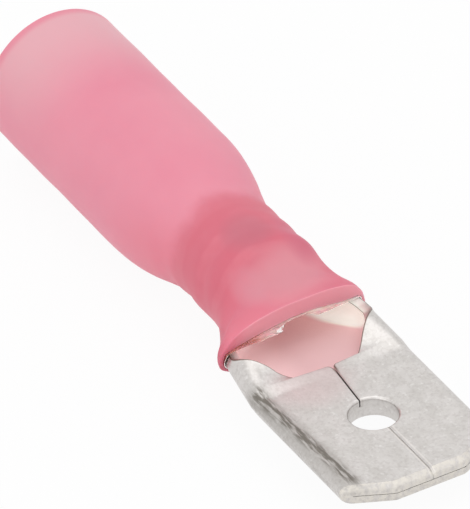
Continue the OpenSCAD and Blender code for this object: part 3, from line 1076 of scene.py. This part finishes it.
def make_metal():
    material, tree, shader = new_material("tinned brass")
    place, xyz = place_of(tree)
    mottle = use_group(clouds, place, Scale=1500.0, Detail=5.0, Low=0.3, High=0.7)
    dark = scuffs(place, xyz)
    film_and_reflection, wall_highlight, glow = trough(tree, xyz)
    coined = marked(tree, "coined")
    crumb = use_group(clouds, place, Scale=5200.0, Detail=4.0, Low=0.35, High=0.6)
    creamy = both(coined, crumb)
    bare = both(marked(tree, "cut_edge"), band(xyz[0], 20.1, 19.5))
    colour = plating_and_reflection(place, xyz, mottle)
    colour = blend_colour(dark, colour, paint(0.46, 0.44, 0.41))
    # The glue layer in the trough, painted pink as a reflection of the sleeve
    colour = blend_colour(film_and_reflection, colour, paint(0.94, 0.785, 0.79))
    # A painted white highlight on the trough's right wall
    colour = blend_colour(both(film_and_reflection, wall_highlight), colour, paint(1.0, 0.97, 0.94))
    # Painted highlights on the lips of the seam's groove
    colour = tint(seam_lip_highlights(xyz), 0.55, colour, paint(0.93, 0.91, 0.89))
    colour = tint(creamy, 0.7, colour, paint(0.90, 0.88, 0.845))
    colour = blend_colour(bare, colour, paint(0.42, 0.33, 0.28))
    worn = maths("MAXIMUM", dark, coined)
    rough = maths("MULTIPLY_ADD", mottle, 0.10, 0.32)
    rough = maths("MULTIPLY_ADD", worn, 0.22, rough)
    rough = maths("MULTIPLY_ADD", film_and_reflection, 0.15, rough)
    height = use_group(grain, place, Scale=12000.0, Pits=0.5)
    height = maths("MULTIPLY_ADD", worn, 2.5, height)
    height = maths("MULTIPLY_ADD", creamy, 1.2, height)
    feed_inputs(shader, Base_Color=colour, Roughness=rough)
    feed_inputs(shader, Metallic=maths("MULTIPLY_ADD", film_and_reflection, -0.85, 1.0))
    feed_inputs(shader, Emission_Color=glow, Emission_Strength=1.0)
    add_bump(shader, height, 0.45, 0.00001)
    return material


dress(make_metal(), sheet, smear, braze)

# %% [markdown]
# ## Heat-shrink plastic
# The jacket is a translucent pink polyolefin. Where nothing is inside it, light passes through and
# it looks pale. Where it has shrunk onto the barrel it is thicker and darker, and the barrel's
# grooves show through as soft waves. The colour is painted with masks along X and round the axis,
# in three steps: the wide body, the neck and the mouth.

# %% Colours of the wide body and the neck
def body_colour(xyz, mottle):
    """Pink, painted light on the open end's top, deeper at its rim, painted shade under the shoulder.
    """
    x, _, z = xyz
    # Painted light on top of the open end, where light passes through the empty sleeve
    open_top = both(band(x, 5.2, 0.8), band(z, -0.5, 2.4))
    # Painted shade on the lower side of the shoulder, deeper towards the neck
    shoulder = both(band(x, 8.0, 12.0), band(z, 2.0, 0.0))
    colour = blend_colour(mottle, paint(0.915, 0.55, 0.63), paint(0.935, 0.585, 0.66))
    colour = tint(open_top, 0.75, colour, paint(0.91, 0.72, 0.745))
    colour = tint(band(x, 0.5, 0.15), 0.7, colour, paint(0.91, 0.50, 0.59))
    return tint(shoulder, 0.7, colour, paint(0.93, 0.50, 0.57))


def neck_colour(xyz, mottle, patch, colour):
    """Deep pink over the metal, with the grooves as waves and an uneven start."""
    x = xyz[0]
    start = band(maths("MULTIPLY_ADD", patch, 0.7, x), 11.9, 13.3)
    neck = both(start, band(x, 18.2, 15.4))
    colour = blend_colour(neck, colour, paint(0.855, 0.41, 0.485))
    bent = maths("MULTIPLY_ADD", mottle, 0.9, x)
    wave = maths("SINE", maths("MULTIPLY", bent, 2 * math.pi / (grooves[1] - grooves[0])))
    wave = both(band(wave, -0.2, 0.9), patch)
    wave = both(wave, band(x, 12.2, 13.2), band(x, 16.4, 15.2))
    return tint(wave, 0.5, colour, paint(0.90, 0.52, 0.575))


print("body and neck ready")

# %% [markdown]
# Where the sleeve leaves the barrel, the photograph shows a greyish shade, a paler patch over the
# open trough and deeper places round it. Each is a soft dab. The paler patch and a small dab on
# the left of the flare are painted light, and the deep dab low on the left is painted shade. The
# sleeve is deeper just behind its cut end, as painted shade in the crease there, and the end face
# itself is paler above, as painted light, except at its left.

# %% The jacket material
def mouth_colour(tree, xyz, mottle, colour):
    """Darker dabs and painted light and shade where the sleeve bridges the funnel, and at its end
    face.
    """
    x, y, z = xyz
    colour = dab(xyz, colour, (14.4, -0.25, 2.14), (1.3, 1.2, 1.2), 0.75, (0.78, 0.42, 0.485))
    # Painted light: a paler patch on the top of the flare, over the open trough
    pale = maths("MULTIPLY", spot(xyz, (16.3, 0.5, 1.2), (1.7, 2.2, 1.3)), 0.85)
    pale = maths("MULTIPLY_ADD", mottle, 0.15, pale)
    colour = blend_colour(pale, colour, paint(0.915, 0.60, 0.645))
    colour = dab(xyz, colour, (15.0, 1.5, 1.7), (1.7, 1.1, 1.2), 0.75, (0.83, 0.41, 0.50))
    # A small painted highlight on the left of the flare
    colour = dab(xyz, colour, (16.1, -1.2, 1.1), (1.0, 0.8, 0.9), 0.5, (0.90, 0.60, 0.65))
    # Painted shade low on the left of the mouth
    colour = dab(xyz, colour, (16.7, -3.0, -0.9), (1.3, 1.3, 1.3), 0.9, (0.80, 0.38, 0.46))
    # Painted shade in the crease just behind the cut end
    askew_x = maths("MULTIPLY_ADD", maths("MINIMUM", y, 0.0), 0.06, x)
    behind = both(band(askew_x, 16.6, 17.1), band(y, -0.5, 2.0))
    behind = both(behind, band(z, -1.0, 0.0))
    colour = tint(behind, 0.55, colour, paint(0.84, 0.43, 0.51))
    # Painted light on the upper end face, except at its left
    face = both(marked(tree, "end_face"), band(z, -1.2, -0.3), band(y, -2.8, -1.8))
    return blend_colour(face, colour, paint(0.975, 0.635, 0.685))


def make_plastic():
    material, tree, shader = new_material("pink heat-shrink")
    place, xyz = place_of(tree)
    mottle = use_group(clouds, place, Scale=260.0, Detail=3.0, Low=0.3, High=0.7)
    patch = use_group(clouds, place, Scale=520.0, Detail=3.0, Low=0.28, High=0.68)
    colour = body_colour(xyz, mottle)
    colour = neck_colour(xyz, mottle, patch, colour)
    colour = mouth_colour(tree, xyz, mottle, colour)
    feed_inputs(shader, Base_Color=colour, Roughness=0.5, IOR=1.45)
    feed_inputs(shader, Subsurface_Weight=0.25, Subsurface_Scale=0.0006)
    feed_inputs(shader, Subsurface_Radius=(1.0, 0.45, 0.5))
    add_bump(shader, use_group(grain, place, Scale=7000.0, Pits=0.2), 0.25, 0.00001)
    return material


dress(make_plastic(), jacket)

# %% [markdown]
# ## Hot-melt glue
# The glue is nearly clear, with an amber tint in the thick bead on the left of the mouth. A
# Principled shader with transmission bends light like the real glue does, and a little roughness
# keeps it waxy instead of glassy.

# %% The glue material
def make_glue():
    material, tree, shader = new_material("amber hot-melt")
    place, (_, y, _) = place_of(tree)
    cloud = use_group(clouds, place, Scale=2600.0, Detail=4.0, Low=0.35, High=0.65)
    amber = blend_colour(cloud, paint(0.92, 0.72, 0.58), paint(0.66, 0.42, 0.32))
    clear = blend_colour(cloud, paint(1.0, 0.97, 0.95), paint(0.95, 0.86, 0.82))
    colour = blend_colour(band(y, -1.1, -1.9), clear, amber)
    feed_inputs(shader, Base_Color=colour, Transmission_Weight=0.7, IOR=1.4, Roughness=0.22)
    add_bump(shader, use_group(grain, place, Scale=3500.0, Pits=0.6), 0.8, 0.00006)
    return material


dress(make_glue(), liner)

# %% [markdown]
# ## The floor and the background
# The part lies on a pale sheet. To the camera the sheet should read as white, but it still has to
# catch the part's soft shadow. So it is a plain diffuse surface which, for camera, mirror and
# transmission rays only, is mixed mostly with a white glow. The Light Path node tells these rays
# apart. The world does the same: it is white to them and a little dimmer to all others.

# %% Floor and world
def seen_directly(tree):
    """1 for rays from the camera, a mirror or clear glue, and 0 for rays that light surfaces."""
    path = tree.nodes.new("ShaderNodeLightPath")
    seen = maths("MAXIMUM", path.outputs["Is Camera Ray"], path.outputs["Is Glossy Ray"])
    return maths("MAXIMUM", seen, path.outputs["Is Transmission Ray"])


def make_floor(low, size=1.5, glow_share=0.94):
    mesh = bpy.data.meshes.new("pale_floor")
    corners = [(-size, -size, low), (size, -size, low), (size, size, low), (-size, size, low)]
    mesh.from_pydata(corners, [], [(0, 1, 2, 3)])
    floor = bpy.data.objects.new("pale_floor", mesh)
    bpy.context.scene.collection.objects.link(floor)
    material = bpy.data.materials.new("pale floor")
    material.use_nodes = True
    tree = material.node_tree
    tree.nodes.clear()
    diffuse = add_node(tree, "ShaderNodeBsdfDiffuse", Color=paint(0.95, 0.95, 0.95))
    glow = add_node(tree, "ShaderNodeEmission", Color=(1, 1, 1, 1), Strength=1.0)
    blend = tree.nodes.new("ShaderNodeMixShader")
    feed(blend.inputs[0], maths("MULTIPLY", seen_directly(tree), glow_share))
    feed(blend.inputs[1], diffuse.outputs[0])
    feed(blend.inputs[2], glow.outputs[0])
    add_node(tree, "ShaderNodeOutputMaterial", Surface=blend.outputs[0])
    mesh.materials.append(material)


def make_world(level):
    """A white background that lights the part at a level below white."""
    world = bpy.data.worlds.new("soft studio")
    bpy.context.scene.world = world
    world.use_nodes = True
    tree = world.node_tree
    tree.nodes.clear()
    strength = maths("MULTIPLY_ADD", seen_directly(tree), 1.0 - level, level)
    back = add_node(tree, "ShaderNodeBackground", Color=(1, 1, 1, 1), Strength=strength)
    add_node(tree, "ShaderNodeOutputWorld", Surface=back.outputs[0])


make_floor(cad_box[0][2])
make_world(0.80)
print("floor at z", round(cad_box[0][2] / MM, 2), "mm")

# %% [markdown]
# ## Lights
# One large soft lamp hangs almost straight above, and a smaller one fills from the camera's left.
# Lamps that are big beside the part give the soft, almost shadowless look of a product photograph.

# %% Lamps
def soft_lamp(name, place, aim, size, power):
    light = bpy.data.lights.new(name, "AREA")
    light.shape = "DISK"
    light.size = size
    light.energy = power
    lamp = bpy.data.objects.new(name, light)
    lamp.location = place
    lamp.rotation_euler = (Vector(aim) - Vector(place)).to_track_quat("-Z", "Y").to_euler()
    bpy.context.scene.collection.objects.link(lamp)


middle = (0.013, 0.0, 0.0)
soft_lamp("key_lamp", (0.04, 0.03, 0.34), middle, 0.42, 0.26)
soft_lamp("fill_lamp", (0.10, -0.26, 0.16), middle, 0.20, 0.08)
print("lamps:", [light.name for light in bpy.data.lights])

# %% [markdown]
# ## The camera
# In the photograph the part lies along a falling diagonal and shows almost no perspective. So the
# camera stands half a metre away with a very long lens. Its axes come from two directions in the
# picture plane, one along that diagonal and one across it: their sum points right in the picture
# and their difference points up. The lean of the part's X axis away from the picture plane and its
# turn about that axis were set by laying renders over the photograph.

# %% Camera
lean = math.asin(0.70)
roll = math.radians(32.9)
photo_height = 509
pixels_per_mm = 28.04
distance = 0.5
aim = Vector((0.01304, 0.0, 0.00011))
along = Vector((math.cos(lean), math.sin(lean) * math.sin(roll), -math.sin(lean) * math.cos(roll)))
over = Vector((0, math.cos(roll), math.sin(roll)))
right = (along + over).normalized()
up = (over - along).normalized()
back = right.cross(up).normalized()
camera_data = bpy.data.cameras.new("camera")
camera_data.sensor_width = 36
camera_data.lens = pixels_per_mm * camera_data.sensor_width * distance / MM / photo_height
camera_data.clip_start = 0.01
camera = bpy.data.objects.new("camera", camera_data)
turn = Matrix((right, up, back)).transposed().to_4x4()
camera.matrix_world = Matrix.Translation(aim + back * distance) @ turn
bpy.context.scene.collection.objects.link(camera)
bpy.context.scene.camera = camera
bpy.context.scene.view_settings.view_transform = "Standard"
print("lens", round(camera_data.lens), "mm")
